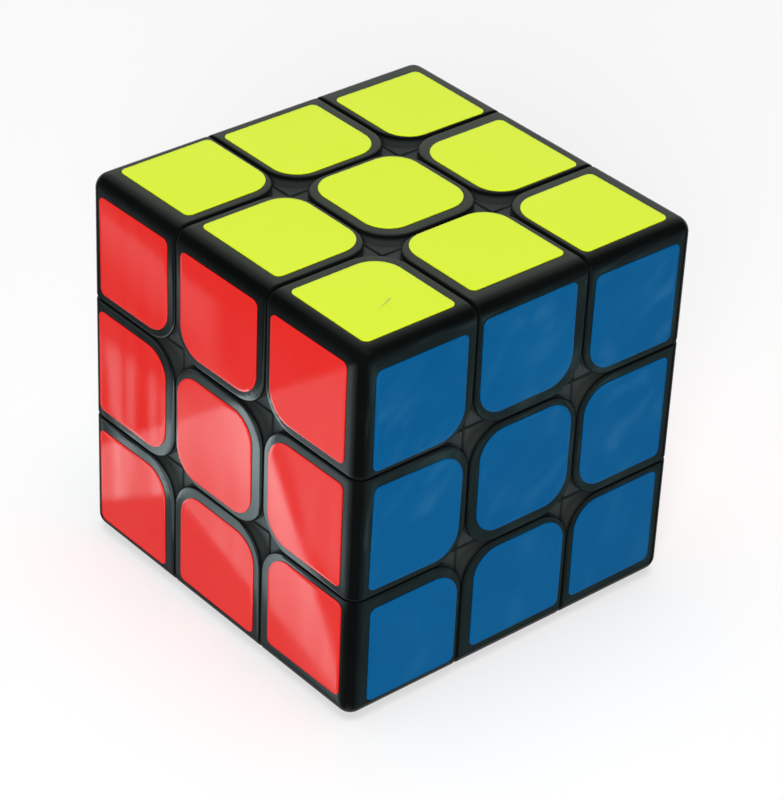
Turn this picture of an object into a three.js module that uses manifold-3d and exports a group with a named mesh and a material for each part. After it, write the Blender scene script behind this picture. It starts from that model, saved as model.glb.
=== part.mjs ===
// A 3 x 3 x 3 twisty puzzle cube: a six-armed core, six sprung centres with snap-on caps, twelve edges and
// eight corners whose feet interlock under their neighbours. Millimetres, +Z up, origin at the middle of the
// bottom face. Every piece is designed about the cube's own centre, once for each kind, and copies are turned
// into their places. Faces: front -Y, right +X, back +Y, left -X, top +Z, bottom -Z.
import * as THREE from "three";
import Module from "manifold-3d";
import { mergeVertices } from "three/addons/utils/BufferGeometryUtils.js";

// ---- driving dimensions ----
const CUBE = 57; // across opposite faces
const GAP = 0.3; // seam between neighbouring pieces
const OUTER_FILLET = 2.2; // along the cube's twelve outside edges and round its eight corners
const SEAM_FILLET = 0.4; // where a face runs down into a seam
const PETAL_RADIUS = 5.3; // the large corners that leave a star-shaped hollow between four pieces
const PETAL_DEPTH = 1.6; // how deep those hollows are
const SETBACK = 0.1; // how far the hollows' floors stay back from a seam
const WALL = 1.6; // moulded wall of the hollow pieces
const GROOVE_RADIUS = 18; // feet turn inside this radius, shoulders stay outside it
const GROOVE_FLOOR = 5; // how near a layer's feet come to the middle plane
const SPLIT = 22; // where a corner's foot meets its shell, along the body diagonal
const HOOF_RADIUS = 8; // a corner's foot, about the body diagonal
const DRAIN_RADIUS = 1.5; // the moulding hole through an edge's foot

// The centre's stack along its arm, as distances from the cube's centre.
const CORE_HALF = 4.6;
const CORE_SPHERE = 6.9;
const ARM = { radius: 3, end: 12.6, pilot: 1.55, pilotFloor: 6.2 };
const STALK = { radius: 4.6, bore: 3.3, foot: 5.3, floor: 13, floorTop: 14.6, screwHole: 1.75, cup: 3.4 };
const SCREW = {
  shank: 1.25,
  root: 1,
  pitch: 1.3,
  tip: 7,
  threadTop: 12.4,
  headFrom: 21.6,
  head: 2.7,
  headSide: 22.6,
  crown: 2,
  crownTop: 23.15,
  headTop: 23.3,
  crossHalfWidth: 0.35,
  crossReach: 1.5,
  crossDepth: 1,
};
const WASHER = { inner: 1.6, outer: 3, from: 20.95, to: 21.5 };
const SPRING = { coil: 2.6, wire: 0.3, from: 15.05, to: 20.55, turns: 4.5, stepsPerTurn: 10, wireSides: 5 };
const CAP = { underside: 26.3, seatGap: 0.1, plugDepth: 2.5, plugHalf: 7.4, plugWall: 1.2, plugRadius: 3 };
const POCKET = { half: 7.6, radius: 3.2, floor: 20.5, tube: 4.8 };

const HALF = CUBE / 2;
const LAYER = CUBE / 6; // the planes between layers
const NEAR = LAYER + GAP / 2; // where an outer layer's pieces start
const SLICE = LAYER - GAP / 2; // half the width of a middle layer's pieces
const FOOT_NEAR = GROOVE_FLOOR + GAP / 2;
const FOOT_SLICE = GROOVE_FLOOR - GAP / 2;
const GROOVE_CUT = GROOVE_RADIUS + GAP / 2;
const FOOT_REACH = GROOVE_RADIUS - GAP / 2;
const ROUND = 32; // sides of the large turned surfaces
const FINE = 16; // sides of small round details
const SPARE = 12; // sides of hidden holes and threads
const CLEAR = 1; // how far a cutting tool runs past what it cuts

// ---- solids: closed three.js geometries, joined and cut by manifold-3d ----
const wasm = await Module();
wasm.setup();

function solid(geometry) {
  const bare = geometry.index ? geometry.toNonIndexed() : geometry.clone();
  bare.deleteAttribute("normal");
  bare.deleteAttribute("uv");
  const merged = mergeVertices(bare, 1e-5);
  return new wasm.Manifold(
    new wasm.Mesh({
      numProp: 3,
      vertProperties: merged.attributes.position.array,
      triVerts: new Uint32Array(merged.index.array),
    }),
  );
}

function geometryOf(manifold) {
  const mesh = manifold.getMesh();
  const positions = new Float32Array(mesh.numVert * 3);
  for (let i = 0; i < mesh.numVert; i++) {
    positions.set(mesh.vertProperties.subarray(i * mesh.numProp, i * mesh.numProp + 3), i * 3);
  }
  const geometry = new THREE.BufferGeometry();
  geometry.setAttribute("position", new THREE.BufferAttribute(positions, 3));
  geometry.setIndex(new THREE.BufferAttribute(mesh.triVerts, 1));
  const flat = geometry.toNonIndexed();
  flat.computeVertexNormals();
  return flat;
}

const intersection = (first, ...rest) => rest.reduce((a, b) => a.intersect(b), first);
const union = (first, ...rest) => rest.reduce((a, b) => a.add(b), first);
const difference = (first, ...rest) => rest.reduce((a, b) => a.subtract(b), first);

// Rotations that carry +Z onto each axis in turn, keeping the order x, y, z cyclic.
const ALONG = {
  x: new THREE.Matrix4().makeBasis(
    new THREE.Vector3(0, 1, 0),
    new THREE.Vector3(0, 0, 1),
    new THREE.Vector3(1, 0, 0),
  ),
  y: new THREE.Matrix4().makeBasis(
    new THREE.Vector3(0, 0, 1),
    new THREE.Vector3(1, 0, 0),
    new THREE.Vector3(0, 1, 0),
  ),
  z: new THREE.Matrix4(),
};

// How many straight steps stand for a quarter circle.
const arcSteps = (radius) => Math.max(2, Math.ceil(radius));

// A rectangle with a radius for each corner, counter-clockwise from (low, low); 0 leaves a corner sharp.
function roundedRectangle([x0, y0], [x1, y1], radii) {
  const corners = [
    [x0, y0, 1, 1, Math.PI],
    [x1, y0, -1, 1, 1.5 * Math.PI],
    [x1, y1, -1, -1, 0],
    [x0, y1, 1, -1, 0.5 * Math.PI],
  ];
  const points = corners.flatMap(([x, y, sx, sy, start], i) => {
    const r = radii[i];
    if (r === 0) return [new THREE.Vector2(x, y)];
    const steps = arcSteps(r);
    return Array.from({ length: steps + 1 }, (_, k) => {
      const a = start + (0.5 * Math.PI * k) / steps;
      return new THREE.Vector2(x + sx * r + r * Math.cos(a), y + sy * r + r * Math.sin(a));
    });
  });
  return new THREE.Shape(points);
}

// An extrusion along an axis. The outline's two coordinates are the next two axes in cyclic order.
function prism(shape, axis, from, to) {
  const depth = to - from;
  const geometry = new THREE.ExtrudeGeometry(shape, { depth, bevelEnabled: false, curveSegments: 1 });
  geometry.translate(0, 0, from);
  return solid(geometry.applyMatrix4(ALONG[axis]));
}

function box(low, high) {
  const size = low.map((v, i) => high[i] - v);
  const geometry = new THREE.BoxGeometry(...size);
  return solid(geometry.translate(...low.map((v, i) => v + size[i] / 2)));
}

function rod(radius, from, to, axis = "z", sides = FINE) {
  const geometry = new THREE.CylinderGeometry(radius, radius, to - from, sides);
  geometry.rotateX(Math.PI / 2);
  geometry.translate(0, 0, (from + to) / 2);
  return solid(geometry.applyMatrix4(ALONG[axis]));
}

// A rod along any direction from the cube's centre.
function ray(radius, from, to, direction, sides = FINE) {
  const geometry = new THREE.CylinderGeometry(radius, radius, to - from, sides);
  geometry.translate(0, (from + to) / 2, 0);
  const turn = new THREE.Quaternion().setFromUnitVectors(
    new THREE.Vector3(0, 1, 0),
    new THREE.Vector3(...direction).normalize(),
  );
  return solid(geometry.applyQuaternion(turn));
}

const sphere = (radius) => solid(new THREE.SphereGeometry(radius, 20, 12));
const grooveCut = (axis) => rod(GROOVE_CUT, -CUBE, CUBE, axis, ROUND);
const footReach = (axis) => rod(FOOT_REACH, -CUBE, CUBE, axis, ROUND);

// ---- corner: a hollow shell with three faces, and a foot whose pin plugs into it ----
const DIAGONAL = [1, 1, 1];
const PIN = { radius: 2.8, from: 18, to: 36.4 };
const SOCKET = { outer: 4.6, from: 29, bore: 3.1, boreEnd: 36.8 };
const CAVITY_LOW = NEAR + WALL;
const CAVITY_HIGH = HALF - WALL;
const SHELF = HALF - PETAL_DEPTH; // level of the hollows' floors
const CAVITY_RADIUS = PETAL_RADIUS - WALL; // keeps a full wall behind the hollows
const SECTOR = box([NEAR, NEAR, NEAR], [HALF, HALF, HALF]);

// Everything nearer the cube's centre than a plane square to the body diagonal.
const shortOf = (distance) => ray(CUBE, -CUBE, distance, DIAGONAL, SPARE);

// What a ball-shaped corner leaves off, where three outside fillets meet.
function beyondBall() {
  const steps = arcSteps(OUTER_FILLET);
  const middle = Array(3).fill(HALF - OUTER_FILLET);
  const ball = new THREE.SphereGeometry(OUTER_FILLET, 4 * steps, 2 * steps).translate(...middle);
  return box(middle, Array(3).fill(HALF + CLEAR)).subtract(solid(ball));
}

function cornerShell() {
  const threeWays = (low, high, radii) => {
    const outline = roundedRectangle([low, low], [high, high], radii);
    return intersection(...["x", "y", "z"].map((axis) => prism(outline, axis, low, high)));
  };
  const rounded = threeWays(NEAR, HALF, [PETAL_RADIUS, SEAM_FILLET, OUTER_FILLET, SEAM_FILLET]);
  const block = rounded.add(box(Array(3).fill(NEAR + SETBACK), Array(3).fill(SHELF)));
  const cavity = threeWays(CAVITY_LOW, CAVITY_HIGH, [CAVITY_RADIUS, 0, 0, 0]);
  const socketEnd = HALF - WALL / 2;
  const socket = ray(SOCKET.outer, SOCKET.from, CUBE, DIAGONAL, SPARE).intersect(
    box([NEAR, NEAR, NEAR], [socketEnd, socketEnd, socketEnd]),
  );
  return difference(
    union(block.subtract(cavity), socket),
    ray(SOCKET.bore, 0, SOCKET.boreEnd, DIAGONAL, SPARE),
    shortOf(SPLIT + GAP / 2),
    beyondBall(),
  );
}

function cornerFoot() {
  const hoof = intersection(
    box([FOOT_NEAR, FOOT_NEAR, FOOT_NEAR], [HALF, HALF, HALF]),
    footReach("x"),
    footReach("y"),
    footReach("z"),
    ray(HOOF_RADIUS, 0, CUBE, DIAGONAL, SPARE),
  );
  const neck = SECTOR.intersect(shortOf(SPLIT - GAP / 2));
  const pin = ray(PIN.radius, PIN.from, PIN.to, DIAGONAL, SPARE).intersect(SECTOR);
  return union(hoof, neck, pin);
}

// ---- edge at the top back: a hollow block with two faces and a foot between the corners' feet ----
function edgePiece() {
  const section = roundedRectangle([NEAR, NEAR], [HALF, HALF], [0, SEAM_FILLET, OUTER_FILLET, SEAM_FILLET]);
  // The outlines seen from the top and from the back, with the hollows' corners on the side of the centres.
  const outlines = (half, low, high, petal, fillet) => [
    prism(roundedRectangle([-half, low], [half, high], [petal, petal, fillet, fillet]), "z", 0, high),
    prism(roundedRectangle([low, -half], [high, half], [petal, fillet, fillet, petal]), "y", 0, high),
  ];
  const rounded = intersection(
    prism(section, "x", -SLICE, SLICE),
    ...outlines(SLICE, NEAR, HALF, PETAL_RADIUS, SEAM_FILLET),
  );
  const shelf = box([SETBACK - SLICE, NEAR + SETBACK, NEAR + SETBACK], [SLICE - SETBACK, SHELF, SHELF]);
  const block = rounded.add(shelf);
  const foot = intersection(
    box([-FOOT_SLICE, FOOT_NEAR, FOOT_NEAR], [FOOT_SLICE, HALF - WALL, HALF - WALL]),
    footReach("y"),
    footReach("z"),
  );
  // The cavity's inner corner is cut back to leave a full wall over the groove.
  const shoulder = Math.SQRT2 * (GROOVE_CUT + WALL) - CAVITY_LOW;
  const cavitySection = new THREE.Shape(
    [
      [shoulder, CAVITY_LOW],
      [CAVITY_HIGH, CAVITY_LOW],
      [CAVITY_HIGH, CAVITY_HIGH],
      [CAVITY_LOW, CAVITY_HIGH],
      [CAVITY_LOW, shoulder],
    ].map(([y, z]) => new THREE.Vector2(y, z)),
  );
  const cavity = intersection(
    prism(cavitySection, "x", WALL - SLICE, SLICE - WALL),
    ...outlines(SLICE - WALL, CAVITY_LOW, CAVITY_HIGH, CAVITY_RADIUS, 0),
  );
  const drain = ray(DRAIN_RADIUS, 0, SPLIT, [0, 1, 1], SPARE);
  return difference(union(block.subtract(grooveCut("x")), foot), cavity, drain);
}

// ---- centre on top: a body on a hollow stalk, and the cap that hides its screw ----
const evenSquare = (half, radius) => roundedRectangle([-half, -half], [half, half], Array(4).fill(radius));
const CENTRE_OUTLINE = evenSquare(SLICE, PETAL_RADIUS);

// The square floor that a centre adds to the four hollows round it.
function centreShelf(from, to) {
  const side = SLICE - SETBACK;
  return box([-side, -side, from], [side, side, to]);
}

function centreBody() {
  const top = CAP.underside - CAP.seatGap;
  const shelf = centreShelf(STALK.floorTop + SETBACK, Math.min(SHELF, top - SETBACK));
  const block = prism(CENTRE_OUTLINE, "z", STALK.floorTop, top).add(shelf);
  const shoulders = difference(block, grooveCut("x"), grooveCut("y"));
  const pocket = prism(evenSquare(POCKET.half, POCKET.radius), "z", POCKET.floor, HALF);
  return difference(
    union(shoulders, rod(STALK.radius, STALK.foot, GROOVE_CUT + CLEAR)),
    pocket.subtract(rod(POCKET.tube, 0, CUBE)),
    rod(STALK.bore, 0, STALK.floor),
    rod(STALK.screwHole, 0, HALF, "z", SPARE),
    rod(STALK.cup, STALK.floorTop, HALF),
  );
}

function centreCap() {
  const crownYZ = roundedRectangle([-SLICE, 0], [SLICE, HALF], [0, 0, SEAM_FILLET, SEAM_FILLET]);
  const crownZX = roundedRectangle([0, -SLICE], [HALF, SLICE], [0, SEAM_FILLET, SEAM_FILLET, 0]);
  const plate = intersection(
    prism(CENTRE_OUTLINE, "z", CAP.underside, HALF),
    prism(crownYZ, "x", -SLICE, SLICE),
    prism(crownZX, "y", -SLICE, SLICE),
  );
  const ring = (half, radius) =>
    prism(evenSquare(half, radius), "z", CAP.underside - CAP.plugDepth, CAP.underside + CAP.seatGap);
  const inner = CAP.plugHalf - CAP.plugWall;
  const plug = ring(CAP.plugHalf, CAP.plugRadius).subtract(ring(inner, CAP.plugRadius - CAP.plugWall));
  return union(plate, centreShelf(CAP.underside + SETBACK, SHELF), plug);
}

// ---- hardware on the top arm ----
function lathe(profile, sides = FINE) {
  const geometry = new THREE.LatheGeometry(profile.map(([r, y]) => new THREE.Vector2(r, y)), sides);
  return solid(geometry.rotateX(Math.PI / 2));
}

function screw() {
  const crests = Math.floor((SCREW.threadTop - SCREW.tip - SCREW.pitch) / SCREW.pitch);
  const thread = Array.from({ length: crests }, (_, i) => {
    const z = SCREW.tip + SCREW.pitch * (i + 1);
    return [
      [SCREW.root, z],
      [SCREW.shank, z + SCREW.pitch / 2],
    ];
  }).flat();
  const turned = lathe(
    [
      [0, SCREW.tip],
      [SCREW.root * 0.5, SCREW.tip],
      ...thread,
      [SCREW.root, SCREW.threadTop],
      [SCREW.shank, SCREW.threadTop + SCREW.pitch / 2],
      [SCREW.shank, SCREW.headFrom],
      [SCREW.head, SCREW.headFrom],
      [SCREW.head, SCREW.headSide],
      [SCREW.crown, SCREW.crownTop],
      [0, SCREW.headTop],
    ],
    SPARE,
  );
  const { crossHalfWidth: width, crossReach: reach } = SCREW;
  const floor = SCREW.headTop - SCREW.crossDepth;
  return difference(
    turned,
    box([-reach, -width, floor], [reach, width, HALF]),
    box([-width, -reach, floor], [width, reach, HALF]),
  );
}

const washer = () => rod(WASHER.outer, WASHER.from, WASHER.to).subtract(rod(WASHER.inner, 0, HALF));

// A compression spring: one wire along a helix.
class Helix extends THREE.Curve {
  getPoint(t, target = new THREE.Vector3()) {
    const angle = 2 * Math.PI * SPRING.turns * t;
    const height = SPRING.from + (SPRING.to - SPRING.from) * t;
    return target.set(SPRING.coil * Math.cos(angle), SPRING.coil * Math.sin(angle), height);
  }
}

function spring() {
  const section = new THREE.Shape(
    Array.from({ length: SPRING.wireSides }, (_, i) => {
      const a = (2 * Math.PI * i) / SPRING.wireSides;
      return new THREE.Vector2(SPRING.wire * Math.cos(a), SPRING.wire * Math.sin(a));
    }),
  );
  return solid(
    new THREE.ExtrudeGeometry(section, {
      steps: SPRING.turns * SPRING.stepsPerTurn,
      extrudePath: new Helix(),
      curveSegments: 1,
    }),
  );
}

// ---- core: a small block with six arms, each bored for its screw ----
function core() {
  const axes = ["x", "y", "z"];
  const hub = box(Array(3).fill(-CORE_HALF), Array(3).fill(CORE_HALF)).intersect(sphere(CORE_SPHERE));
  const arms = axes.map((axis) => rod(ARM.radius, -ARM.end, ARM.end, axis));
  const pilots = axes.flatMap((axis) => [
    rod(ARM.pilot, ARM.pilotFloor, ARM.end + CLEAR, axis, SPARE),
    rod(ARM.pilot, -ARM.end - CLEAR, -ARM.pilotFloor, axis, SPARE),
  ]);
  return difference(union(hub, ...arms), ...pilots);
}

// ---- assembly ----
const material = (color, roughness, metalness = 0) =>
  new THREE.MeshStandardMaterial({ color, roughness, metalness });
const BLACK = material(0x16191a, 0.2);
const CORE_GREY = material(0xd9d9d6, 0.5);
const STEEL = material(0xa8abb0, 0.3, 1);
const SPRING_STEEL = material(0x8f9297, 0.35, 1);

const cube = new THREE.Group();
cube.position.z = HALF;

function place(name, geometry, finish, tip, quarterTurns) {
  const mesh = new THREE.Mesh(geometry, finish);
  mesh.name = name;
  const turn = new THREE.Matrix4().makeRotationZ((quarterTurns * Math.PI) / 2);
  mesh.setRotationFromMatrix(turn.multiply(tip));
  cube.add(mesh);
}

// Tips carry a piece made for the top into the middle or bottom layer; quarter turns about +Z do the rest.
const STAY = new THREE.Matrix4();
const UPSIDE_DOWN = new THREE.Matrix4().makeRotationX(Math.PI);
const ONTO_SIDE = new THREE.Matrix4().makeRotationX(Math.PI / 2);
const ON_END = new THREE.Matrix4().makeRotationY(Math.PI / 2);

place("core", geometryOf(core()), CORE_GREY, STAY, 0);

// A centre's tip carries +Z onto its face: -Y for the front, then a quarter turn for each face after it.
const CENTRES = [
  ["top", STAY, 0],
  ["bottom", UPSIDE_DOWN, 0],
  ["front", ONTO_SIDE, 0],
  ["right", ONTO_SIDE, 1],
  ["back", ONTO_SIDE, 2],
  ["left", ONTO_SIDE, 3],
];
const CENTRE_KIT = [
  ["centre_body", geometryOf(centreBody()), BLACK],
  ["centre_cap", geometryOf(centreCap()), BLACK],
  ["centre_screw", geometryOf(screw()), STEEL],
  ["centre_washer", geometryOf(washer()), STEEL],
  ["centre_spring", geometryOf(spring()), SPRING_STEEL],
];
for (const [face, tip, turns] of CENTRES) {
  for (const [name, geometry, finish] of CENTRE_KIT) place(`${face}_${name}`, geometry, finish, tip, turns);
}

// Edges are made at the top back (+Y +Z). Upside down they start at the bottom front, and on end at the
// back right.
const EDGES = [
  [STAY, ["top_back", "top_left", "top_front", "top_right"]],
  [UPSIDE_DOWN, ["bottom_front", "bottom_right", "bottom_back", "bottom_left"]],
  [ON_END, ["back_right", "back_left", "front_left", "front_right"]],
];
const edgeGeometry = geometryOf(edgePiece());
for (const [tip, places] of EDGES) {
  places.forEach((where, turns) => place(`edge_${where}`, edgeGeometry, BLACK, tip, turns));
}

// Corners are made at the top back right (+X +Y +Z). Upside down they start at the bottom front right.
const CORNERS = [
  [STAY, ["top_back_right", "top_back_left", "top_front_left", "top_front_right"]],
  [UPSIDE_DOWN, ["bottom_front_right", "bottom_back_right", "bottom_back_left", "bottom_front_left"]],
];
const shellGeometry = geometryOf(cornerShell());
const footGeometry = geometryOf(cornerFoot());
for (const [tip, places] of CORNERS) {
  places.forEach((where, turns) => {
    place(`corner_shell_${where}`, shellGeometry, BLACK, tip, turns);
    place(`corner_foot_${where}`, footGeometry, BLACK, tip, turns);
  });
}

export default new THREE.Group().add(cube);
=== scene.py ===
"""The looks of a three-layer twisty puzzle cube: moulded pieces, hand-laid vinyl stickers, and a studio."""

import itertools
import math
import random

import bpy
import numpy as np
from mathutils import Matrix, Vector


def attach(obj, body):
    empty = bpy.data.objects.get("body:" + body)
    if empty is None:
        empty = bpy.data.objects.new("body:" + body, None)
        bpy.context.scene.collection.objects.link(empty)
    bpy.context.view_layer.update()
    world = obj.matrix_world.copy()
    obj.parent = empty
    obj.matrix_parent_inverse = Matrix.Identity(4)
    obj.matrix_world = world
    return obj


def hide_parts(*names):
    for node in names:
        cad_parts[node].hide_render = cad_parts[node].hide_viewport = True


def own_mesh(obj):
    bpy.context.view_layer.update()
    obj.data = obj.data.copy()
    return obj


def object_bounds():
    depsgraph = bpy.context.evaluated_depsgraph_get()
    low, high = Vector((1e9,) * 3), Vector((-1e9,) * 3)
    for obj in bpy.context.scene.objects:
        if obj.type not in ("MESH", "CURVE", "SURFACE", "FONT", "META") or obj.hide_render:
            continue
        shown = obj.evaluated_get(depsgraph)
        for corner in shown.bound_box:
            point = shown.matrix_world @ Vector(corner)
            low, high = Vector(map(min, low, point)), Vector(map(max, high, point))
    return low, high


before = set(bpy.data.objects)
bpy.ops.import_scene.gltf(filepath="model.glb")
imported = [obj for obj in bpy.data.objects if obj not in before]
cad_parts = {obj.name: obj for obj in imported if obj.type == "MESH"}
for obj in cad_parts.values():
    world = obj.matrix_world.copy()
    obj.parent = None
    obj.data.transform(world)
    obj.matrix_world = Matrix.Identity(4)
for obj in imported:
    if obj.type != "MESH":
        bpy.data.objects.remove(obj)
cad_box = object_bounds()

# ---- the design, in millimetres about the cube's own centre ----
MM = 0.001
CUBE = (cad_box[1][0] - cad_box[0][0]) / MM
HALF = CUBE / 2
GAP = 0.3  # between neighbouring pieces
NEAR = CUBE / 6 + GAP / 2  # where an outer layer's pieces start
SLICE = CUBE / 6 - GAP / 2  # half the width of a middle layer's pieces
SEAM_FILLET = 0.4
OUTER_FILLET = 2.2
PETAL = 5.3  # radius of the corners beside a vent
SHELF = HALF - 1.6  # the floors of the vents, the hollows between four pieces
SETBACK = 0.1  # how far a shelf stays back from the sides of its block
GROOVE = 18.0  # outer radius of the round grooves that the feet run in
GROOVE_FLOOR = 5.0  # where the edges' feet end and the corners' feet start, from the middle
CORNER_SPLIT = 22.0  # where a corner's shell meets its foot, along the diagonal
CORNER_HOOF = 8.0  # radius of the part of the foot that runs in the grooves
CORNER_FOOT_TOP = HALF - 2.0
EDGE_FOOT_TOP = HALF - 3.0

CENTRE = {
    "blank_from": 10.0,  # where the block that a centre is cut from starts
    "from": 14.6,  # the body's underside, beside its stalk
    "cap_from": 26.3,
    "cap_gap": 0.12,
    "stalk": (4.6, 5.3, 19.5),  # radius, start and end
    "arm_bore": (3.3, 0.0, 13.0),
    "screw_bore": (1.75, 0.0, HALF),
    "spring_bore": (3.4, 14.6, HALF),
}
CORE = {
    "half": 4.6,  # of the block at its middle
    "ball": 6.9,  # radius that rounds the block
    "arm": 3.0,  # radius
    "end": 12.6,
    "chamfer": 0.3,
    "pilot": 1.55,  # radius of the screws' holes
    "pilot_floor": 6.2,
}
SCREW = {
    "tip": 7.0,
    "point": 0.5,  # radius at the tip
    "root": 1.0,
    "shank": 1.25,
    "pitch": 1.3,
    "thread_end": 13.0,
    "head_from": 21.6,
    "head_side": 22.6,
    "head_top": 23.3,
    "head": 2.7,
    "head_edge": 0.15,  # the chamfer under the head
    "cross": (0.35, 1.5, 1.0),  # the recess: half its width, its reach and its depth
}
WASHER = {"inner": 1.6, "outer": 3.0, "from": 20.95, "to": 21.5, "chamfer": 0.1}
SPRING = {
    "coil": 2.6,  # radius of the wire's middle line
    "wire": 0.3,  # radius of the wire
    "from": 15.05,
    "to": 20.55,
    "turns": 4.5,
    "closed": 0.64,  # rise of the first turn and of the last
    "travel": 1.0,  # how far a lifted centre presses it together
}

STICKER = {
    "centre": 8.0,  # half the width of a centre's sticker
    "inner": 10.9,  # where an outer piece's sticker starts, from the face's middle
    "outer": 25.9,  # where it ends
    "vent_corner": 4.0,  # radius of the corners beside a vent
    "corner": 0.95,  # radius of the others
    "least_corner": 0.3,
    "thickness": 0.14,
    "foot": -0.03,  # how far it is let into the plastic
    "edge": ((0.0, 0.55), (0.03, 0.86), (0.09, 1.0), (0.5, 1.0)),  # insets, and heights in thicknesses
}

FACES = {
    "top": (2, 1),
    "bottom": (2, -1),
    "front": (1, -1),
    "back": (1, 1),
    "right": (0, 1),
    "left": (0, -1),
}
COLOUR_OF = {
    "top": "yellow",
    "bottom": "white",
    "front": "red",
    "back": "orange",
    "right": "blue",
    "left": "green",
}
TINY = 1e-9  # keeps a division by a length of nothing from failing


# ---- small mesh tools ----
def mesh_object(name, points, faces):
    mesh = bpy.data.meshes.new(name)
    mesh.from_pydata([tuple(p) for p in points], [], [tuple(f) for f in faces])
    mesh.update()
    thing = bpy.data.objects.new(name, mesh)
    bpy.context.scene.collection.objects.link(thing)
    return thing


def prism(name, outline, axis, low, high):
    """A closed prism along an axis. The outline's coordinates are the next two axes in cyclic order."""
    count = len(outline)
    points = []
    for level in (low, high):
        for first, second in outline:
            point = [0.0, 0.0, 0.0]
            point[axis] = level
            point[(axis + 1) % 3] = first
            point[(axis + 2) % 3] = second
            points.append(point)
    faces = [list(range(count))[::-1], list(range(count, 2 * count))]
    for i in range(count):
        j = (i + 1) % count
        faces.append([i, j, count + j, count + i])
    return mesh_object(name, points, faces)


def circle(radius, sides):
    angles = [2 * math.pi * i / sides for i in range(sides)]
    return [(radius * math.cos(angle), radius * math.sin(angle)) for angle in angles]


def cylinder(radius, axis, low=-CUBE, high=CUBE, sides=96):
    return prism("cutter", circle(radius, sides), axis, low, high)


def box(low, high):
    outline = [(low[0], low[1]), (high[0], low[1]), (high[0], high[1]), (low[0], high[1])]
    return prism("block", outline, 2, low[2], high[2])


def along_diagonal(radius, low, high):
    rod = cylinder(radius, 2, low, high, 64)
    rod.data.transform(Vector((0, 0, 1)).rotation_difference(Vector((1, 1, 1))).to_matrix().to_4x4())
    return rod


def boolean(body, operation, *tools):
    """body joined to, cut by or kept within each tool in turn. The tools are used up."""
    for tool in tools:
        modifier = body.modifiers.new("boolean", "BOOLEAN")
        modifier.operation = operation
        modifier.solver = "MANIFOLD"
        modifier.object = tool
        evaluated = body.evaluated_get(bpy.context.evaluated_depsgraph_get())
        made = bpy.data.meshes.new_from_object(evaluated)
        body.modifiers.clear()
        body.data = made
        bpy.data.objects.remove(tool)
    return body


# ---- moulded blocks, with no edge left sharp ----
def nearest_in_outline(first, second, low, high, radii):
    """The nearest points of a rectangle with a radius at each corner, keyed by the corner's signs."""
    near_first = np.clip(first, low[0], high[0])
    near_second = np.clip(second, low[1], high[1])
    for (s, t), radius in radii.items():
        centre_first = (high[0] if s > 0 else low[0]) - s * radius
        centre_second = (high[1] if t > 0 else low[1]) - t * radius
        out_first = first - centre_first
        out_second = second - centre_second
        length = np.hypot(out_first, out_second)
        beyond = (out_first * s > 0) & (out_second * t > 0) & (length > radius)
        length = np.maximum(length, TINY)
        near_first = np.where(beyond, centre_first + out_first * radius / length, near_first)
        near_second = np.where(beyond, centre_second + out_second * radius / length, near_second)
    return near_first, near_second


def nearest_in_prism(points, axis, low, high, radii):
    """The nearest points of a block, taking only the corners of its outline along one axis as rounded."""
    u, v = (axis + 1) % 3, (axis + 2) % 3
    nearest = points.copy()
    nearest[:, u], nearest[:, v] = nearest_in_outline(
        points[:, u], points[:, v], (low[u], low[v]), (high[u], high[v]), radii
    )
    return nearest


def nearest_in_cube(points):
    """The nearest points of the whole cube, its edges and corners rounded, shrunk by the seam fillet."""
    reach = OUTER_FILLET - SEAM_FILLET
    inner = np.clip(points, OUTER_FILLET - HALF, HALF - OUTER_FILLET)
    away = points - inner
    length = np.linalg.norm(away, axis=1)[:, None]
    return inner + away * np.minimum(1.0, reach / np.maximum(length, TINY))


def nearest_in_core(points, low, high, radii_by_axis, rounds=60):
    """Dykstra's method: the nearest points of what a prism along each axis and the rounded cube share."""
    shapes = [
        lambda moved, a=axis, r=radii: nearest_in_prism(moved, a, low, high, r)
        for axis, radii in radii_by_axis.items()
    ]
    shapes.append(nearest_in_cube)
    current = points.copy()
    corrections = [np.zeros_like(points) for _ in shapes]
    for _ in range(rounds):
        for k, nearest in enumerate(shapes):
            moved = current + corrections[k]
            current = nearest(moved)
            corrections[k] = moved - current
    return current


def grid_lines(low, high):
    """Where a block's grid runs along one side: close together over the roundings, open on the flat."""
    overhang = 2.0  # starting outside the block spreads the lines evenly round its fillets
    fillet = np.concatenate([np.linspace(-overhang, 0.0, 5), [SEAM_FILLET]])
    petal = np.array([1.0, 1.7, 2.6, 3.6, 4.5, PETAL, PETAL + 0.4])
    start = np.concatenate([fillet, petal])
    middle = np.linspace(low + start[-1], high - start[-1], 4)[1:-1]
    return np.concatenate([low + start, middle, high - start[::-1]])


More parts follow.
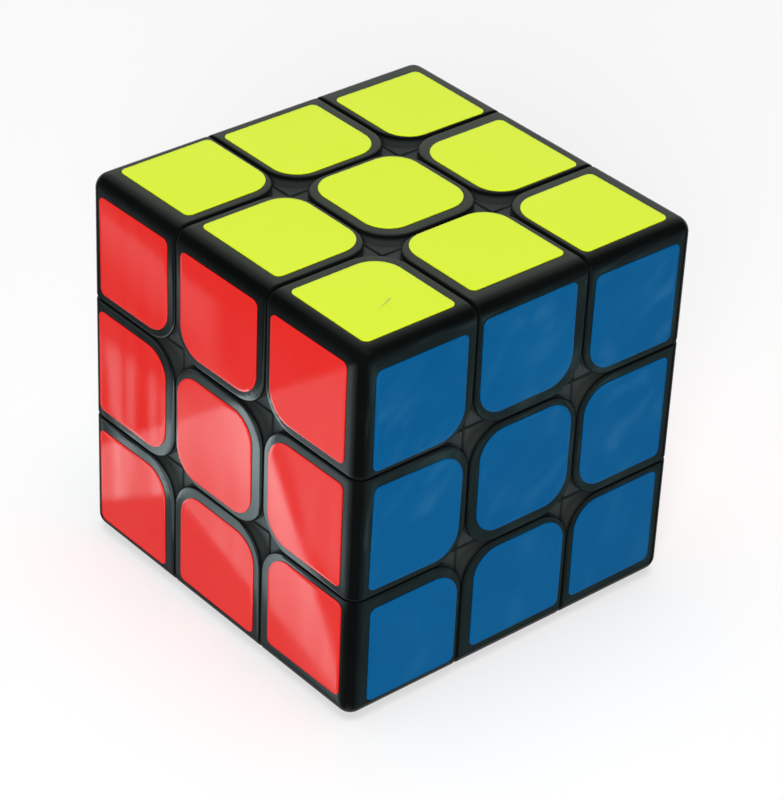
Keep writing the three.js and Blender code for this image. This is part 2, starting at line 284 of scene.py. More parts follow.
def moulded_block(low, high, radii_by_axis):
    """
    A block with its own corner radii along each axis, and the seam fillet on every other edge. A grid round
    it is drawn in to a core, the block shrunk by that fillet, and grown out again along the normals.
    """
    low = np.array(low, float)
    high = np.array(high, float)
    lines = [grid_lines(low[a], high[a]) for a in range(3)]
    index = {}
    samples = []
    faces = []

    def corner(i, j, k):
        if (i, j, k) not in index:
            index[i, j, k] = len(samples)
            samples.append((lines[0][i], lines[1][j], lines[2][k]))
        return index[i, j, k]

    counts = [len(line) for line in lines]
    for axis in range(3):
        u, v = (axis + 1) % 3, (axis + 2) % 3
        for end in (0, counts[axis] - 1):
            for i, j in itertools.product(range(counts[u] - 1), range(counts[v] - 1)):
                loop = []
                for di, dj in ((0, 0), (1, 0), (1, 1), (0, 1)):
                    place = [0, 0, 0]
                    place[axis], place[u], place[v] = end, i + di, j + dj
                    loop.append(corner(*place))
                faces.append(loop if end else loop[::-1])
    outside = np.array(samples)
    shrunk = {
        axis: {signs: radius - SEAM_FILLET for signs, radius in radii.items()}
        for axis, radii in radii_by_axis.items()
    }
    inner = nearest_in_core(outside, low + SEAM_FILLET, high - SEAM_FILLET, shrunk)
    away = outside - inner
    away /= np.linalg.norm(away, axis=1)[:, None]
    return mesh_object("block", inner + away * SEAM_FILLET, faces)


# ---- the moulded pieces, each made once and then copied to its places ----
def corner_shell():
    radii = {axis: {(-1, -1): PETAL} for axis in range(3)}
    shell = moulded_block((NEAR,) * 3, (HALF,) * 3, radii)
    boolean(shell, "UNION", box((NEAR + SETBACK,) * 3, (SHELF,) * 3))
    return boolean(shell, "DIFFERENCE", along_diagonal(CUBE, -CUBE, CORNER_SPLIT + GAP / 2))


def corner_foot():
    start = GROOVE_FLOOR + GAP / 2
    reach = GROOVE - GAP / 2
    hoof = boolean(
        box((start,) * 3, (CORNER_FOOT_TOP,) * 3),
        "INTERSECT",
        cylinder(reach, 0),
        cylinder(reach, 1),
        cylinder(reach, 2),
        along_diagonal(CORNER_HOOF, 0, CUBE),
    )
    neck = box((NEAR,) * 3, (CORNER_FOOT_TOP,) * 3)
    boolean(neck, "INTERSECT", along_diagonal(CUBE, -CUBE, CORNER_SPLIT - GAP / 2))
    return boolean(hoof, "UNION", neck)


def edge_piece():
    radii = {
        0: {},
        1: {(-1, -1): PETAL, (-1, 1): PETAL},
        2: {(-1, -1): PETAL, (1, -1): PETAL},
    }
    block = moulded_block((-SLICE, NEAR, NEAR), (SLICE, HALF, HALF), radii)
    side = SLICE - SETBACK
    boolean(block, "UNION", box((-side, NEAR + SETBACK, NEAR + SETBACK), (side, SHELF, SHELF)))
    boolean(block, "DIFFERENCE", cylinder(GROOVE + GAP / 2, 0))
    width = GROOVE_FLOOR - GAP / 2
    start = GROOVE_FLOOR + GAP / 2
    reach = GROOVE - GAP / 2
    foot = box((-width, start, start), (width, EDGE_FOOT_TOP, EDGE_FOOT_TOP))
    boolean(foot, "INTERSECT", cylinder(reach, 1), cylinder(reach, 2))
    return boolean(block, "UNION", foot)


def centre_blank():
    """A centre's outline from its shoulders to its face, still one piece."""
    radii = {0: {}, 1: {}, 2: dict.fromkeys(itertools.product((-1, 1), repeat=2), PETAL)}
    return moulded_block((-SLICE, -SLICE, CENTRE["blank_from"]), (SLICE, SLICE, HALF), radii)


def centre_shelf(low, high):
    side = SLICE - SETBACK
    return box((-side, -side, low), (side, side, high))


def centre_cap():
    seam = CENTRE["cap_from"]
    cap = boolean(centre_blank(), "INTERSECT", box((-HALF, -HALF, seam), (HALF, HALF, HALF + 1)))
    return boolean(cap, "UNION", centre_shelf(seam + SETBACK, SHELF))


def centre_body():
    start = CENTRE["from"]
    seam = CENTRE["cap_from"] - CENTRE["cap_gap"]
    groove = GROOVE + GAP / 2
    body = boolean(centre_blank(), "INTERSECT", box((-HALF, -HALF, start), (HALF, HALF, seam)))
    boolean(body, "UNION", centre_shelf(start + SETBACK, seam - SETBACK))
    boolean(body, "DIFFERENCE", cylinder(groove, 0), cylinder(groove, 1))

    def along_stalk(name, sides):
        radius, low, high = CENTRE[name]
        return cylinder(radius, 2, low, high, sides)

    boolean(body, "UNION", along_stalk("stalk", 64))
    bores = [along_stalk("arm_bore", 48), along_stalk("screw_bore", 32), along_stalk("spring_bore", 48)]
    return boolean(body, "DIFFERENCE", *bores)


# ---- the core, and the hardware on its arm along z ----
def turned(rows, sides=48):
    """A closed solid about z, through rows of (height, radius). A radius may be a function of the angle."""
    points = []
    for height, radius in rows:
        for k in range(sides):
            angle = 2 * math.pi * k / sides
            reach = radius(angle) if callable(radius) else radius
            points.append((reach * math.cos(angle), reach * math.sin(angle), height))
    last = (len(rows) - 1) * sides
    faces = [list(range(sides))[::-1], [last + k for k in range(sides)]]
    for i, k in itertools.product(range(len(rows) - 1), range(sides)):
        j = (k + 1) % sides
        faces.append([i * sides + k, i * sides + j, (i + 1) * sides + j, (i + 1) * sides + k])
    return mesh_object("turned", points, faces)


def core():
    half, end, chamfer = CORE["half"], CORE["end"], CORE["chamfer"]
    slants = [math.radians(a) for a in range(-88, 89, 4)]
    ball = turned([(CORE["ball"] * math.sin(a), CORE["ball"] * math.cos(a)) for a in slants], 96)
    hub = boolean(box([-half] * 3, [half] * 3), "INTERSECT", ball)
    narrow = CORE["arm"] - chamfer
    rod = [(-end, narrow), (chamfer - end, CORE["arm"]), (end - chamfer, CORE["arm"]), (end, narrow)]
    arms = [turned(rod, 64) for _ in range(3)]
    arms[0].data.transform(Matrix.Rotation(math.pi / 2, 4, "Y"))
    arms[1].data.transform(Matrix.Rotation(math.pi / 2, 4, "X"))
    boolean(hub, "UNION", *arms)
    pilots = []
    for axis in range(3):
        pilots.append(cylinder(CORE["pilot"], axis, CORE["pilot_floor"], end + 1, 48))
        pilots.append(cylinder(CORE["pilot"], axis, -end - 1, -CORE["pilot_floor"], 48))
    boolean(hub, "DIFFERENCE", *pilots)
    hub.name = "smooth_core"
    return hub


def screw(rows_per_pitch=14, sides=32):
    """A screw with a helical thread and a domed head, which has a cross recess."""
    length = SCREW["thread_end"] - SCREW["tip"]
    run_out = SCREW["pitch"] / 2

    def thread(height):
        up = height - SCREW["tip"]
        core_radius = SCREW["point"] + (SCREW["root"] - SCREW["point"]) * min(up / SCREW["pitch"], 1)
        ended = min(max((up - length) / run_out + 1, 0), 1)

        def radius(angle):
            along = up / SCREW["pitch"] - angle / (2 * math.pi)
            crest = (0.5 - 0.5 * math.cos(2 * math.pi * along)) ** 2
            cut = core_radius + (SCREW["shank"] - SCREW["root"]) * crest
            return cut + (SCREW["shank"] - cut) * ended

        return radius

    count = round(length / SCREW["pitch"] * rows_per_pitch)
    heights = [SCREW["tip"] + length * i / count for i in range(count + 1)]
    rows = [(height, thread(height)) for height in heights]
    rows += [
        (SCREW["head_from"], SCREW["shank"]),
        (SCREW["head_from"], SCREW["head"] - SCREW["head_edge"]),
        (SCREW["head_from"] + SCREW["head_edge"], SCREW["head"]),
    ]
    dome = SCREW["head_top"] - SCREW["head_side"]
    slants = [math.radians(a) for a in range(0, 86, 5)]
    rows += [(SCREW["head_side"] + dome * math.sin(a), SCREW["head"] * math.cos(a)) for a in slants]
    width, reach, depth = SCREW["cross"]
    floor_height = SCREW["head_top"] - depth
    slots = [
        box([-reach, -width, floor_height], [reach, width, HALF]),
        box([-width, -reach, floor_height], [width, reach, HALF]),
    ]
    return boolean(turned(rows, sides), "DIFFERENCE", *slots)


def washer():
    low, high, outer, chamfer = WASHER["from"], WASHER["to"], WASHER["outer"], WASHER["chamfer"]
    narrow = outer - chamfer
    disc = turned([(low, narrow), (low + chamfer, outer), (high - chamfer, outer), (high, narrow)])
    return boolean(disc, "DIFFERENCE", cylinder(WASHER["inner"], 2, 0, HALF, 48))


def spring(steps=36, sides=12):
    """A compression spring about z, in one wire, with a closed turn at each end."""
    open_rise = (SPRING["to"] - SPRING["from"] - 2 * SPRING["closed"]) / (SPRING["turns"] - 2)
    points = []
    count = round(SPRING["turns"] * steps)
    for i in range(count + 1):
        wound = i / steps
        opened = min(max(wound - 1, 0), SPRING["turns"] - 2)
        height = SPRING["from"] + SPRING["closed"] * (wound - opened) + open_rise * opened
        outward = Vector((math.cos(2 * math.pi * wound), math.sin(2 * math.pi * wound), 0))
        for k in range(sides):
            angle = 2 * math.pi * k / sides
            middle = outward * (SPRING["coil"] + SPRING["wire"] * math.cos(angle))
            points.append(middle + Vector((0, 0, height + SPRING["wire"] * math.sin(angle))))
    faces = [list(range(sides)), [count * sides + k for k in range(sides)][::-1]]
    for i, k in itertools.product(range(count), range(sides)):
        j = (k + 1) % sides
        faces.append([i * sides + j, i * sides + k, (i + 1) * sides + k, (i + 1) * sides + j])
    return mesh_object("spring", points, faces)


# ---- stickers ----
def rounded_outline(low, high, radii):
    """Points round a rectangle, counter-clockwise, with a radius for each corner keyed by its signs."""
    points = []
    for (s, t), start in (((-1, -1), 180), ((1, -1), 270), ((1, 1), 0), ((-1, 1), 90)):
        radius = radii[s, t]
        centre = ((high[0] if s > 0 else low[0]) - s * radius, (high[1] if t > 0 else low[1]) - t * radius)
        steps = 14 if radius > 2 else 7
        for k in range(steps + 1):
            angle = math.radians(start + 90 * k / steps)
            points.append((centre[0] + radius * math.cos(angle), centre[1] + radius * math.sin(angle)))
    return points


def sticker_mesh(name, i, j):
    """The sticker for column i and row j (-1, 0 or 1) of a face, lying on that face's plane."""
    span = {
        -1: (-STICKER["outer"], -STICKER["inner"]),
        0: (-STICKER["centre"], STICKER["centre"]),
        1: (STICKER["inner"], STICKER["outer"]),
    }
    radii = {}
    for s, t in itertools.product((-1, 1), repeat=2):
        beside_vent = s != i and t != j
        radii[s, t] = STICKER["vent_corner"] if beside_vent else STICKER["corner"]
    profile = [(0.0, STICKER["foot"])]
    profile += [(inset, STICKER["thickness"] * share) for inset, share in STICKER["edge"]]
    rings = []
    for inset, height in profile:
        low = (span[i][0] + inset, span[j][0] + inset)
        high = (span[i][1] - inset, span[j][1] - inset)
        inner = {key: max(radius - inset, STICKER["least_corner"]) for key, radius in radii.items()}
        rings.append([(x, y, height) for x, y in rounded_outline(low, high, inner)])
    count = len(rings[0])
    points = [point for ring in rings for point in ring]
    faces = [list(range(count))[::-1], [(len(rings) - 1) * count + k for k in range(count)]]
    for level in range(len(rings) - 1):
        for k in range(count):
            m = (k + 1) % count
            base = level * count
            faces.append([base + k, base + m, base + count + m, base + count + k])
    return mesh_object(name, points, faces)


# ---- materials ----
class Nodes:
    """A short way to add and join the shader nodes of a new material, or of a new world."""

    def __init__(self, name, world=False):
        self.owner = (bpy.data.worlds if world else bpy.data.materials).new(name)
        self.owner.use_nodes = True
        self.tree = self.owner.node_tree
        self.shader = self.tree.nodes["Background" if world else "Principled BSDF"]
        space = "Generated" if world else "Object"
        self.coordinates = self.tree.nodes.new("ShaderNodeTexCoord").outputs[space]

    def add(self, kind, inputs=None, **settings):
        node = self.tree.nodes.new("ShaderNode" + kind)
        for key, value in settings.items():
            setattr(node, key, value)
        for key, value in (inputs or {}).items():
            self.join(value, node.inputs[key])
        return node

    def join(self, value, socket):
        if isinstance(value, bpy.types.NodeSocket):
            self.tree.links.new(value, socket)
        else:
            socket.default_value = value

    def noise(self, scale, detail=2.0, roughness=0.5, stretch=None, turn=(0, 0, 0)):
        vector = self.coordinates
        if stretch:
            vector = self.add("Mapping", {"Vector": vector, "Scale": stretch, "Rotation": turn}).outputs[0]
        inputs = {"Vector": vector, "Scale": scale, "Detail": detail, "Roughness": roughness}
        return self.add("TexNoise", inputs).outputs[0]

    def ramp(self, value, low, high, to_low=0.0, to_high=1.0):
        """value, carried from low..high to to_low..to_high and held there beyond the ends."""
        inputs = {"Value": value, 1: low, 2: high, 3: to_low, 4: to_high}
        return self.add("MapRange", inputs, clamp=True).outputs[0]

    def mix(self, factor, first, second):
        node = self.add("Mix", data_type="RGBA")
        self.join(factor, node.inputs[0])
        self.join(first, node.inputs[6])
        self.join(second, node.inputs[7])
        return node.outputs[2]

    def math(self, operation, first, second=0.0):
        return self.add("Math", {0: first, 1: second}, operation=operation).outputs[0]

    def bump(self, height, distance, strength, normal=None):
        inputs = {"Height": height, "Distance": distance, "Strength": strength}
        if normal:
            inputs["Normal"] = normal
        return self.add("Bump", inputs).outputs[0]

    def finish(self, **inputs):
        """Joins each value or socket to the shader's input of that name, with _ for a space."""
        for key, value in inputs.items():
            self.join(value, self.shader.inputs[key.replace("_", " ")])
        return self.owner


def rgba(r, g, b):
    return (r, g, b, 1.0)


def black_plastic():
    """
    Moulded ABS, near black, with a faint cloudy tone and a fine texture. The outside is rubbed here and there
    to a better shine. Below the cube's outside skin it is matt, as the mould left it, and painted a lighter
    grey: painted light, which lifts the vents and seams out of their shade.
    """
    n = Nodes("black_plastic")
    flat_to = [(HALF - OUTER_FILLET) * MM] * 3
    place = n.add("VectorMath", {0: n.coordinates, 1: (0.0, 0.0, -HALF * MM)}, operation="ADD").outputs[0]
    place = n.add("VectorMath", {0: place}, operation="ABSOLUTE").outputs[0]
    place = n.add("VectorMath", {0: place, 1: flat_to}, operation="SUBTRACT").outputs[0]
    place = n.add("VectorMath", {0: place, 1: (0.0, 0.0, 0.0)}, operation="MAXIMUM").outputs[0]
    reach = n.add("VectorMath", {0: place}, operation="LENGTH").outputs[1]
    skin_ends = (OUTER_FILLET - 0.3) * MM
    inside_starts = (OUTER_FILLET - 0.9) * MM
    below_skin_painted_light_and_matt = n.ramp(reach, inside_starts, skin_ends, 1.0, 0.0)
    cloud = n.ramp(n.noise(90, 3), 0.35, 0.65)
    grain = n.noise(2600, 2)
    shiny = n.ramp(n.noise(240, 4, 0.6), 0.3, 0.75, 0.22, 0.14)
    outer = n.mix(cloud, rgba(0.0022, 0.0028, 0.0028), rgba(0.0034, 0.0042, 0.004))
    # Painted light: the lighter grey below the outer skin lifts the vents and seams out of their shade.
    inner = n.mix(cloud, rgba(0.031, 0.037, 0.035), rgba(0.039, 0.046, 0.044))
    n.finish(
        Base_Color=n.mix(below_skin_painted_light_and_matt, outer, inner),
        Roughness=n.math("ADD", shiny, n.math("MULTIPLY", below_skin_painted_light_and_matt, 0.35)),
        Normal=n.bump(grain, 0.00001, 0.35),
    )
    n.shader.inputs["Specular IOR Level"].default_value = 0.32
    return n.owner


def scratch(n):
    """1 along the scratch on one corner sticker, fading out towards its tail, and 0 elsewhere."""
    start = Vector((*SCRATCH["head"], 0)) * MM
    line = Vector((*SCRATCH["tail"], 0)) * MM - start
    run = line.normalized()
    full = 0.15 * line.length  # how far along it the scratch is at its strongest
    width = SCRATCH["width"] * MM
    place = n.add("VectorMath", {0: n.coordinates, 1: start}, operation="SUBTRACT").outputs[0]
    along = n.add("VectorMath", {0: place, 1: run}, operation="DOT_PRODUCT").outputs["Value"]
    aside = n.add("VectorMath", {0: place, 1: (-run.y, run.x, 0)}, operation="DOT_PRODUCT").outputs["Value"]
    across = n.ramp(n.math("ABSOLUTE", aside), 0.2 * width, 0.5 * width, 1.0, 0.0)
    head = n.ramp(along, 0, full)
    tail = n.ramp(along, full, line.length, 1.0, 0.0)
    return n.math("MULTIPLY", across, n.math("MULTIPLY", head, tail))


def vinyl(name, colour, deeper, paler, sheen=(1.0, 1.0, 1.0)):
    """Glossy vinyl film: mottled colour, slow ripples where it isn't quite flat, and hairline scuffs."""
    n = Nodes(name)
    mottled = n.noise(55, 4, 0.55)
    streaks = n.noise(70, 3, 0.5, stretch=(1.0, 1.0, 0.18), turn=(0.5, 0.6, 0.35))
    toned = n.mix(n.ramp(mottled, 0.3, 0.7), rgba(*deeper), rgba(*colour))
    # Painted reflection: paler slanting streaks laid over the colour, as a faint haze of reflected light.
    colour_out = n.mix(n.ramp(streaks, 0.55, 0.8, 0.0, 0.22), toned, rgba(*paler))
    if name == "sticker_yellow":
        colour_out = n.mix(scratch(n), colour_out, rgba(*SCRATCH["tone"]))
    scuffs = n.noise(900, 3, 0.6, stretch=(1.0, 0.12, 0.4), turn=(0.3, 0.9, 0.5))
    roughness = n.ramp(scuffs, 0.35, 0.8, 0.1, 0.16)
    ripples = n.bump(n.noise(130, 2), 0.00006, 0.5)
    normal = n.bump(n.noise(3200, 1), 0.000004, 0.3, ripples)
    n.finish(Base_Color=colour_out, Roughness=roughness, Normal=normal)
    n.shader.inputs["Specular IOR Level"].default_value = 0.2
    n.shader.inputs["Specular Tint"].default_value = rgba(*sheen)
    return n.owner


def metal(name, colour, roughness):
    """Plated steel with fine turning marks and a little tarnish."""
    n = Nodes(name)
    marks = n.noise(1500, 2, stretch=(0.1, 0.1, 1.0))
    tarnish = n.noise(300, 4)
    dull = tuple(c * 0.7 for c in colour)
    n.finish(
        Base_Color=n.mix(n.ramp(tarnish, 0.4, 0.75), rgba(*colour), rgba(*dull)),
        Roughness=n.ramp(marks, 0.3, 0.7, roughness, roughness + 0.15),
        Normal=n.bump(marks, 0.000008, 0.4),
    )
    n.shader.inputs["Metallic"].default_value = 1.0
    return n.owner


def core_plastic():
    """White ABS as moulded, a little cloudy, with a fine grain."""
    n = Nodes("core_plastic")
    grain = n.noise(1800, 2)
    n.finish(
        Base_Color=n.mix(n.ramp(n.noise(120, 3), 0.3, 0.7), rgba(0.62, 0.62, 0.59), rgba(0.7, 0.7, 0.68)),
        Roughness=n.ramp(grain, 0.3, 0.7, 0.45, 0.58),
        Normal=n.bump(grain, 0.00001, 0.4),
    )
    return n.owner


# The scratch on the top sticker of the front right corner: its ends along x and y from the cube's middle.
SCRATCH = {"head": (20.15, -16.95), "tail": (21.5, -20.3), "width": 0.3, "tone": (0.3, 0.36, 0.12)}
# Each colour's own tone, a deeper and a paler one, and the tint of its shine where that isn't white.
# The paler one is mixed in as painted reflection, in slanting streaks.
VINYL_TONES = {
    "yellow": ((0.70, 0.86, 0.028), (0.68, 0.85, 0.018), (0.71, 0.85, 0.07)),
    "red": ((0.80, 0.024, 0.018), (0.78, 0.015, 0.011), (0.82, 0.08, 0.08)),
    "blue": ((0.0003, 0.098, 0.275), (0.0, 0.087, 0.256), (0.005, 0.127, 0.313), (0.25, 1.0, 1.0)),
    "white": ((0.82, 0.83, 0.83), (0.78, 0.79, 0.79), (0.86, 0.87, 0.88)),
    "orange": ((0.90, 0.23, 0.02), (0.88, 0.19, 0.012), (0.92, 0.32, 0.09)),
    "green": ((0.02, 0.40, 0.09), (0.012, 0.35, 0.07), (0.07, 0.47, 0.16)),
}

materials = {f"sticker_{tone}": vinyl(f"sticker_{tone}", *tones) for tone, tones in VINYL_TONES.items()}
materials["black_plastic"] = black_plastic()
materials["core_plastic"] = core_plastic()
materials["screw_steel"] = metal("screw_steel", (0.62, 0.63, 0.65), 0.28)
materials["spring_steel"] = metal("spring_steel", (0.45, 0.46, 0.48), 0.3)


# ---- placing ----
def words(signs):
    """Where a piece is, from the signs of its place along x, y and z."""
    names = []
    for axis, (minus, plus) in ((2, ("bottom", "top")), (1, ("front", "back")), (0, ("left", "right"))):
        if signs[axis]:
            names.append(plus if signs[axis] > 0 else minus)
    return "_".join(names)


def body_of(signs):
    """The body that the piece at a place moves with."""
    if sum(map(abs, signs)) == 1:
        return words(signs) + "_centre"
    return {1: "top_layer", -1: "bottom_layer", 0: "core"}[signs[2]]


def turn_to(signs):
    """The rotation that carries a piece from where it is made to its own place."""
    kind = sum(map(abs, signs))

    def unit(axis, sign):
        vector = Vector((0, 0, 0))
        vector[axis] = sign
        return vector

    if kind == 3:
        order = (0, 1, 2) if signs[0] * signs[1] * signs[2] > 0 else (1, 0, 2)
        columns = [unit(a, signs[a]) for a in order]
    elif kind == 2:
        free = signs.index(0)
        b, c = (free + 1) % 3, (free + 2) % 3
        columns = [unit(free, signs[b] * signs[c]), unit(b, signs[b]), unit(c, signs[c])]
    else:
        face = next(a for a in range(3) if signs[a])
        b, c = (face + 1) % 3, (face + 2) % 3
        columns = [unit(b, 1), unit(c, signs[face]), unit(face, signs[face])]
    return Matrix(columns).transposed().to_4x4()


# From millimetres about the cube's centre to metres above the ground.
TO_ROW_FRAME = Matrix.Translation((0, 0, HALF * MM)) @ Matrix.Scale(MM, 4)


def smooth(thing, crease=32):
    """Smooth shading, except over edges that turn by more than the crease, in degrees."""
    for polygon in thing.data.polygons:
        polygon.use_smooth = True
    thing.data.set_sharp_from_angle(angle=math.radians(crease))


def settle(thing, matrix, slot, body, replaced=()):
    """Puts a finished mesh in the row frame, with its material, on its body, in place of its CAD nodes."""
    thing.data.transform(TO_ROW_FRAME @ matrix)
    thing.data.materials.clear()
    thing.data.materials.append(materials[slot])
    smooth(thing)
    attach(thing, body)
    if replaced:
        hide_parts(*replaced)


def copy_of(master, name):
    thing = bpy.data.objects.new(name, master.data.copy())
    bpy.context.scene.collection.objects.link(thing)
    return thing


places = [p for p in itertools.product((-1, 0, 1), repeat=3) if any(p)]
masters = {
    "shell": corner_shell(),
    "foot": corner_foot(),
    "edge": edge_piece(),
    "body": centre_body(),
    "cap": centre_cap(),
    "screw": screw(),
    "washer": washer(),
    "spring": spring(),
}
NODE_NAMES = {
    3: {"shell": "corner_shell_{}", "foot": "corner_foot_{}"},
    2: {"edge": "edge_{}"},
    1: {"body": "{}_centre_body", "cap": "{}_centre_cap"},
}
for signs in places:
    for kind, pattern in NODE_NAMES[sum(map(abs, signs))].items():
        node = pattern.format(words(signs))
        piece = copy_of(masters[kind], "smooth_" + node)
        settle(piece, turn_to(signs), "black_plastic", body_of(signs), [node])
settle(core(), Matrix.Identity(4), "core_plastic", "core", ["core"])
for face, (axis, side) in FACES.items():
    signs = [side if a == axis else 0 for a in range(3)]
    for kind, slot in (("screw", "screw_steel"), ("washer", "screw_steel"), ("spring", "spring_steel")):
        node = f"{face}_centre_{kind}"
        piece = copy_of(masters[kind], "smooth_" + node)
        settle(piece, turn_to(signs), slot, "core", [node])
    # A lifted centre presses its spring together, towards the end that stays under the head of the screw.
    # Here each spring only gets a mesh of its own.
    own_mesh(piece)
for master in masters.values():
    bpy.data.objects.remove(master)

# Stickers are laid by hand, so each is a little off true. These are shifted to where the real ones sit.
ASKEW = {
    "sticker_top_front_left": (-0.2, 0.6),
    "sticker_top_left": (0.2, -0.4),
    "sticker_top_back_left": (0.9, -0.3),
    "sticker_top_front": (-0.1, 0.5),
    "sticker_top_centre": (-0.5, 0.3),
    "sticker_top_back": (0.8, -0.2),
    "sticker_top_front_right": (0.4, -0.4),
    "sticker_top_right": (-0.8, 0.3),
    "sticker_top_back_right": (0.5, -0.5),
    "sticker_front_bottom_right": (0.5, -0.5),
    "sticker_front_bottom": (-0.3, -0.2),
    "sticker_front_bottom_left": (-0.5, 0.5),
    "sticker_front_centre": (-0.4, 0.7),
    "sticker_front_left": (0.0, 0.5),
    "sticker_right_bottom_front": (0.5, -0.5),
    "sticker_right_front": (0.1, -0.3),
    "sticker_right_top_front": (-0.2, -0.5),
    "sticker_right_bottom": (0.5, 0.3),
    "sticker_right_centre": (0.2, 0.4),
    "sticker_right_top": (-0.6, 0.5),
    "sticker_right_bottom_back": (-0.3, 0.5),
    "sticker_right_back": (-0.3, 0.2),
}
hand = random.Random(11)
for face, (axis, side) in FACES.items():
    lie = turn_to([side if a == axis else 0 for a in range(3)])
    for i, j in itertools.product((-1, 0, 1), repeat=2):
        where = lie.to_3x3() @ Vector((i, j, 1))
        signs = tuple(round(value) for value in where)
        others = [signs[a] if a != axis else 0 for a in range(3)]
        name = f"sticker_{face}_{words(others) or 'centre'}"
        slip = (hand.gauss(0, 0.12), hand.gauss(0, 0.12))
        shift = Matrix.Translation((*ASKEW.get(name, slip), HALF))
        middle = Vector((i * CUBE / 3, j * CUBE / 3, 0))
        skew = Matrix.Translation(middle) @ Matrix.Rotation(math.radians(hand.gauss(0, 0.35)), 4, "Z")
        skew = skew @ Matrix.Translation(-middle)
        settle(sticker_mesh(name, i, j), lie @ shift @ skew, f"sticker_{COLOUR_OF[face]}", body_of(signs))


# ---- studio ----
CAMERA = {
    "place": (9.46, -8.33, 8.11),  # in half cubes from the cube's centre
    "aim": (0.078, -0.007, -0.095),  # the same
    "roll": 2.76,  # degrees
    "lens": 140.4,
}


def floor():
    """A pale table top, a little lit from within, so that it stays white even in the shade."""
    size = 3.0
    drop = 0.0004  # clear of the bottom stickers
    corners = [(-size, -size, -drop), (size, -size, -drop), (size, size, -drop), (-size, size, -drop)]
    plane = mesh_object("floor", corners, [[0, 1, 2, 3]])
    n = Nodes("floor")
    n.finish(Base_Color=n.mix(n.noise(4, 2), rgba(0.44, 0.44, 0.44), rgba(0.46, 0.46, 0.46)))
    n.shader.inputs["Roughness"].default_value = 0.9
    n.shader.inputs["Specular IOR Level"].default_value = 0.0
    n.shader.inputs["Emission Color"].default_value = rgba(1.0, 1.0, 1.0)
    n.shader.inputs["Emission Strength"].default_value = 0.52
    plane.data.materials.append(n.owner)
    plane.visible_glossy = False


def area_light(name, place, aim, size, power):
    data = bpy.data.lights.new(name, "AREA")
    data.shape = "DISK"
    data.size = size
    data.energy = power
    light = bpy.data.objects.new(name, data)
    light.location = place
    light.rotation_euler = (Vector(place) - Vector(aim)).to_track_quat("Z", "Y").to_euler()
    light.visible_glossy = False
    bpy.context.scene.collection.objects.link(light)


def reflector(name, axis, side, distance, half, tint, paint):
    """
    A glowing square card seen only in reflections. It lies parallel to a face, where the line of sight to the
    middle of that face is thrown back to. paint gives its strength from places on it that run from -1 to 1.
    """
    sight = Vector(CAMERA["place"])
    shift = sight * (distance / (sight[axis] * side))
    middle = Vector((0, 0, HALF))
    middle[axis] += side * (HALF + distance)
    u, v = (0, 1) if axis == 2 else (1 - axis, 2)
    middle[u] -= shift[u]
    middle[v] -= shift[v]
    corners = []
    for first, second in ((-1, -1), (1, -1), (1, 1), (-1, 1)):
        corner = middle.copy()
        corner[u] += first * half
        corner[v] += second * half
        corners.append(corner * MM)
    card = mesh_object(name, corners, [[0, 1, 2, 3]])
    n = Nodes(name)
    n.tree.nodes.remove(n.shader)
    place = n.add("SeparateXYZ", {0: n.coordinates})
    across, up = [
        n.math("MULTIPLY", n.math("SUBTRACT", place.outputs[a], middle[a] * MM), 1 / (half * MM))
        for a in (u, v)
    ]
    fades = [n.ramp(n.math("ABSOLUTE", value), 0.75, 1.0, 1.0, 0.0) for value in (across, up)]
    edge = n.math("MULTIPLY", *fades)
    strength = n.math("MULTIPLY", edge, paint(n, across, up))
    glow = n.add("Emission", {"Color": rgba(*tint), "Strength": strength})
    n.join(glow.outputs[0], n.tree.nodes["Material Output"].inputs["Surface"])
    card.data.materials.append(n.owner)
    for ray in ("camera", "diffuse", "transmission", "volume_scatter", "shadow"):
        setattr(card, "visible_" + ray, False)


def soft_square(n, across, up):
    """A broad glow that falls away to the right and to the front."""
    return n.math("MULTIPLY", n.ramp(across, 0.1, 0.95, 0.85, 0.12), n.ramp(up, -0.95, -0.1, 0.15, 1.0))


def wavy_streaks(n, across, up):
    """Faint slanting streaks, as of creased paper."""
    flat = n.add("CombineXYZ", {0: across, 1: up}).outputs[0]
    drift = n.add("TexNoise", {"Vector": flat, "Scale": 4.0, "Detail": 1.0}).outputs[1]
    bend = (0.2, 0.2, 0.0)
    warped = n.add("VectorMath", {0: drift, 1: bend, 2: flat}, operation="MULTIPLY_ADD").outputs[0]
    lie = {"Vector": warped, "Rotation": (0, 0, 0.85), "Scale": (1.0, 0.2, 1.0)}
    slanted = n.add("Mapping", lie, vector_type="TEXTURE").outputs[0]
    streak = n.add("TexNoise", {"Vector": slanted, "Scale": 4.2, "Detail": 2.0}).outputs[0]
    patch = n.add("TexNoise", {"Vector": flat, "Scale": 3.0, "Detail": 1.0}).outputs[0]
    where = n.math("MULTIPLY", n.ramp(patch, 0.42, 0.55, 0.25, 1.0), n.ramp(up, -0.4, 0.1, 0.35, 1.0))
    return n.ramp(n.math("MULTIPLY", n.ramp(streak, 0.52, 0.64), where), 0.0, 1.0, 0.34, 1.5)


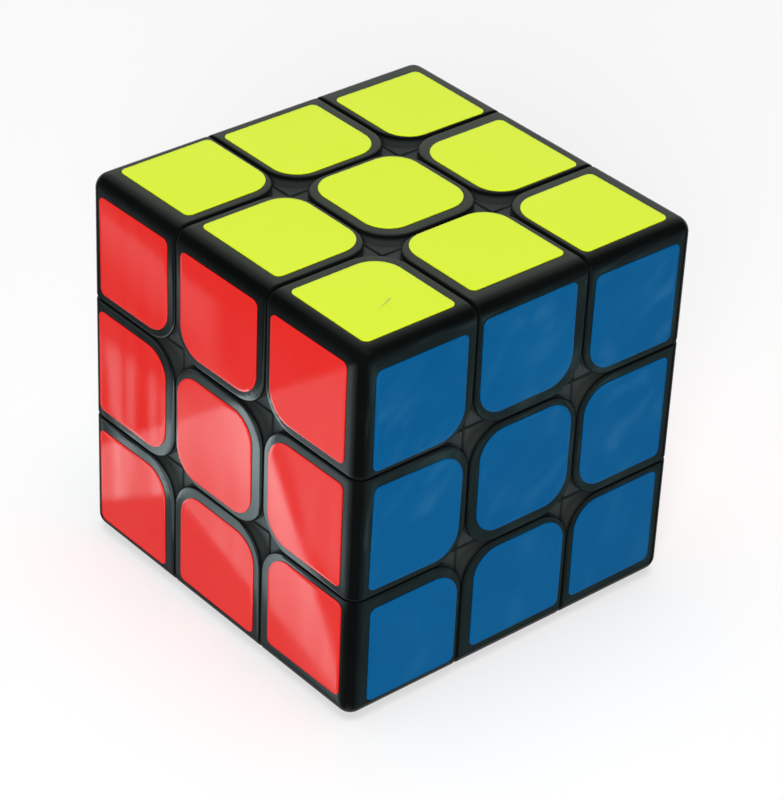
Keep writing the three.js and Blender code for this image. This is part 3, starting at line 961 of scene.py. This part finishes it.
def folded_sheet(n, across, up):
    """A sheet of haze in straight-edged panes, brightest along a fold, with upright pleats on its left."""

    def under(level, slope, soft=0.015):
        """1 under the line up = level + slope * across and 0 above it."""
        line = n.math("ADD", n.math("MULTIPLY", across, slope), level)
        return n.ramp(n.math("SUBTRACT", up, line), -soft, soft, 1.0, 0.0)

    def times(*factors):
        product = factors[0]
        for factor in factors[1:]:
            product = n.math("MULTIPLY", product, factor)
        return product

    def flip(value):
        return n.math("SUBTRACT", 1.0, value)

    top_edge = (0.15, 0.76)
    fold_at, fold_slope = 0.567, -1.724
    crease_at, crease_slope = -0.433, -0.346
    pane = times(under(*top_edge), under(fold_at, fold_slope))
    lower = times(under(-0.19, 0.625), under(crease_at, crease_slope))
    veil = times(pane, n.ramp(lower, 0.0, 1.0, 1.0, 0.25), n.ramp(up, 0.0, 0.35, 0.25, 0.11))
    glow = times(pane, flip(under(0.25, fold_slope, 0.3)), n.ramp(up, -0.6, 0.12, 0.1, 0.6))
    beyond = times(under(*top_edge), flip(under(0.72, fold_slope, 0.08)), n.ramp(up, -0.25, -0.15), 0.15)
    patch = times(under(0.55, -0.05), flip(under(0.28, -0.3, 0.1)), n.ramp(across, -0.1, 0.0, 0.13, 0.02))
    flat = n.add("CombineXYZ", {0: across, 1: up}).outputs[0]
    away = n.add("VectorMath", {0: flat, 1: (-0.05, 0.06, 0.0)}, operation="DISTANCE").outputs["Value"]
    mist = n.ramp(away, 0.08, 0.3, 0.15, 0.0)
    upright = n.add("Mapping", {"Vector": flat, "Scale": (7.0, 0.25, 1.0)}).outputs[0]
    pleat = n.add("TexNoise", {"Vector": upright, "Scale": 1.7, "Detail": 0.0}).outputs[0]
    thread = n.add("TexNoise", {"Vector": upright, "Scale": 4.5, "Detail": 1.0}).outputs[0]
    pleats = n.math("ADD", n.ramp(pleat, 0.48, 0.51, 0.0, 0.3), n.ramp(thread, 0.62, 0.68, 0.0, 0.3))
    column = times(pleats, n.ramp(across, -0.3, -0.2, 0.9, 0.2), n.ramp(up, 0.03, 0.1, 1.0, 0.1), flip(lower))
    off_crease = n.math("ADD", n.math("MULTIPLY", across, -crease_slope), n.math("ADD", up, -crease_at))
    middle = n.ramp(n.math("ABSOLUTE", across), 0.19, 0.22, 1.0, 0.0)
    crease = times(n.ramp(n.math("ABSOLUTE", off_crease), 0.0, 0.01, 0.4, 0.0), middle)
    total = veil
    for part in (glow, beyond, patch, mist, column, crease):
        total = n.math("ADD", total, part)
    return n.ramp(total, 0.0, 1.0, 0.16, 7.0)


def sky():
    """A bright opening overhead in a dark room, with a pale wall behind the cube and grey below it."""
    n = Nodes("studio", world=True)
    height = n.add("SeparateXYZ", {0: n.coordinates}).outputs["Z"]
    back = (-0.745, 0.665, 0.0)
    behind = n.add("VectorMath", {0: n.coordinates, 1: back}, operation="DOT_PRODUCT").outputs["Value"]
    overhead = n.ramp(height, 0.84, 0.97, 0.02, 3.9)
    wall = n.math("MULTIPLY", n.ramp(behind, 0.5, 0.9, 0.0, 0.6), n.ramp(height, 0.1, 0.3, 1.0, 0.0))
    below = n.ramp(height, -0.8, -0.65, 0.3, 0.0)
    n.join(n.math("ADD", overhead, n.math("MAXIMUM", wall, below)), n.shader.inputs["Strength"])
    n.shader.inputs["Color"].default_value = rgba(1.0, 1.0, 1.0)
    return n.owner


def studio():
    bpy.context.scene.world = sky()
    middle = (0, 0, HALF * MM)
    area_light("key", place=(0.75, -0.75, 0.55), aim=middle, size=0.45, power=10.0)
    high_up = {"distance": 400, "half": 700}
    close_by = {"distance": 9, "half": 40}
    reflector("top_card", *FACES["top"], **high_up, tint=(0.94, 1.05, 0.9), paint=soft_square)
    reflector("right_card", *FACES["right"], **close_by, tint=(0.55, 0.95, 1.0), paint=wavy_streaks)
    reflector("front_card", *FACES["front"], **close_by, tint=(0.78, 0.97, 1.0), paint=folded_sheet)
    bpy.context.scene.view_settings.view_transform = "Standard"


def camera():
    data = bpy.data.cameras.new("camera")
    data.lens = CAMERA["lens"]
    data.sensor_width = 36
    thing = bpy.data.objects.new("camera", data)
    centre = Vector((0, 0, HALF * MM))
    place = Vector(CAMERA["place"]) * HALF * MM + centre
    aim = Vector(CAMERA["aim"]) * HALF * MM + centre
    look = (aim - place).to_track_quat("-Z", "Y").to_matrix().to_4x4()
    roll = Matrix.Rotation(math.radians(CAMERA["roll"]), 4, "Z")
    thing.matrix_world = Matrix.Translation(place) @ look @ roll
    bpy.context.scene.collection.objects.link(thing)
    bpy.context.scene.camera = thing


floor()
studio()
camera()
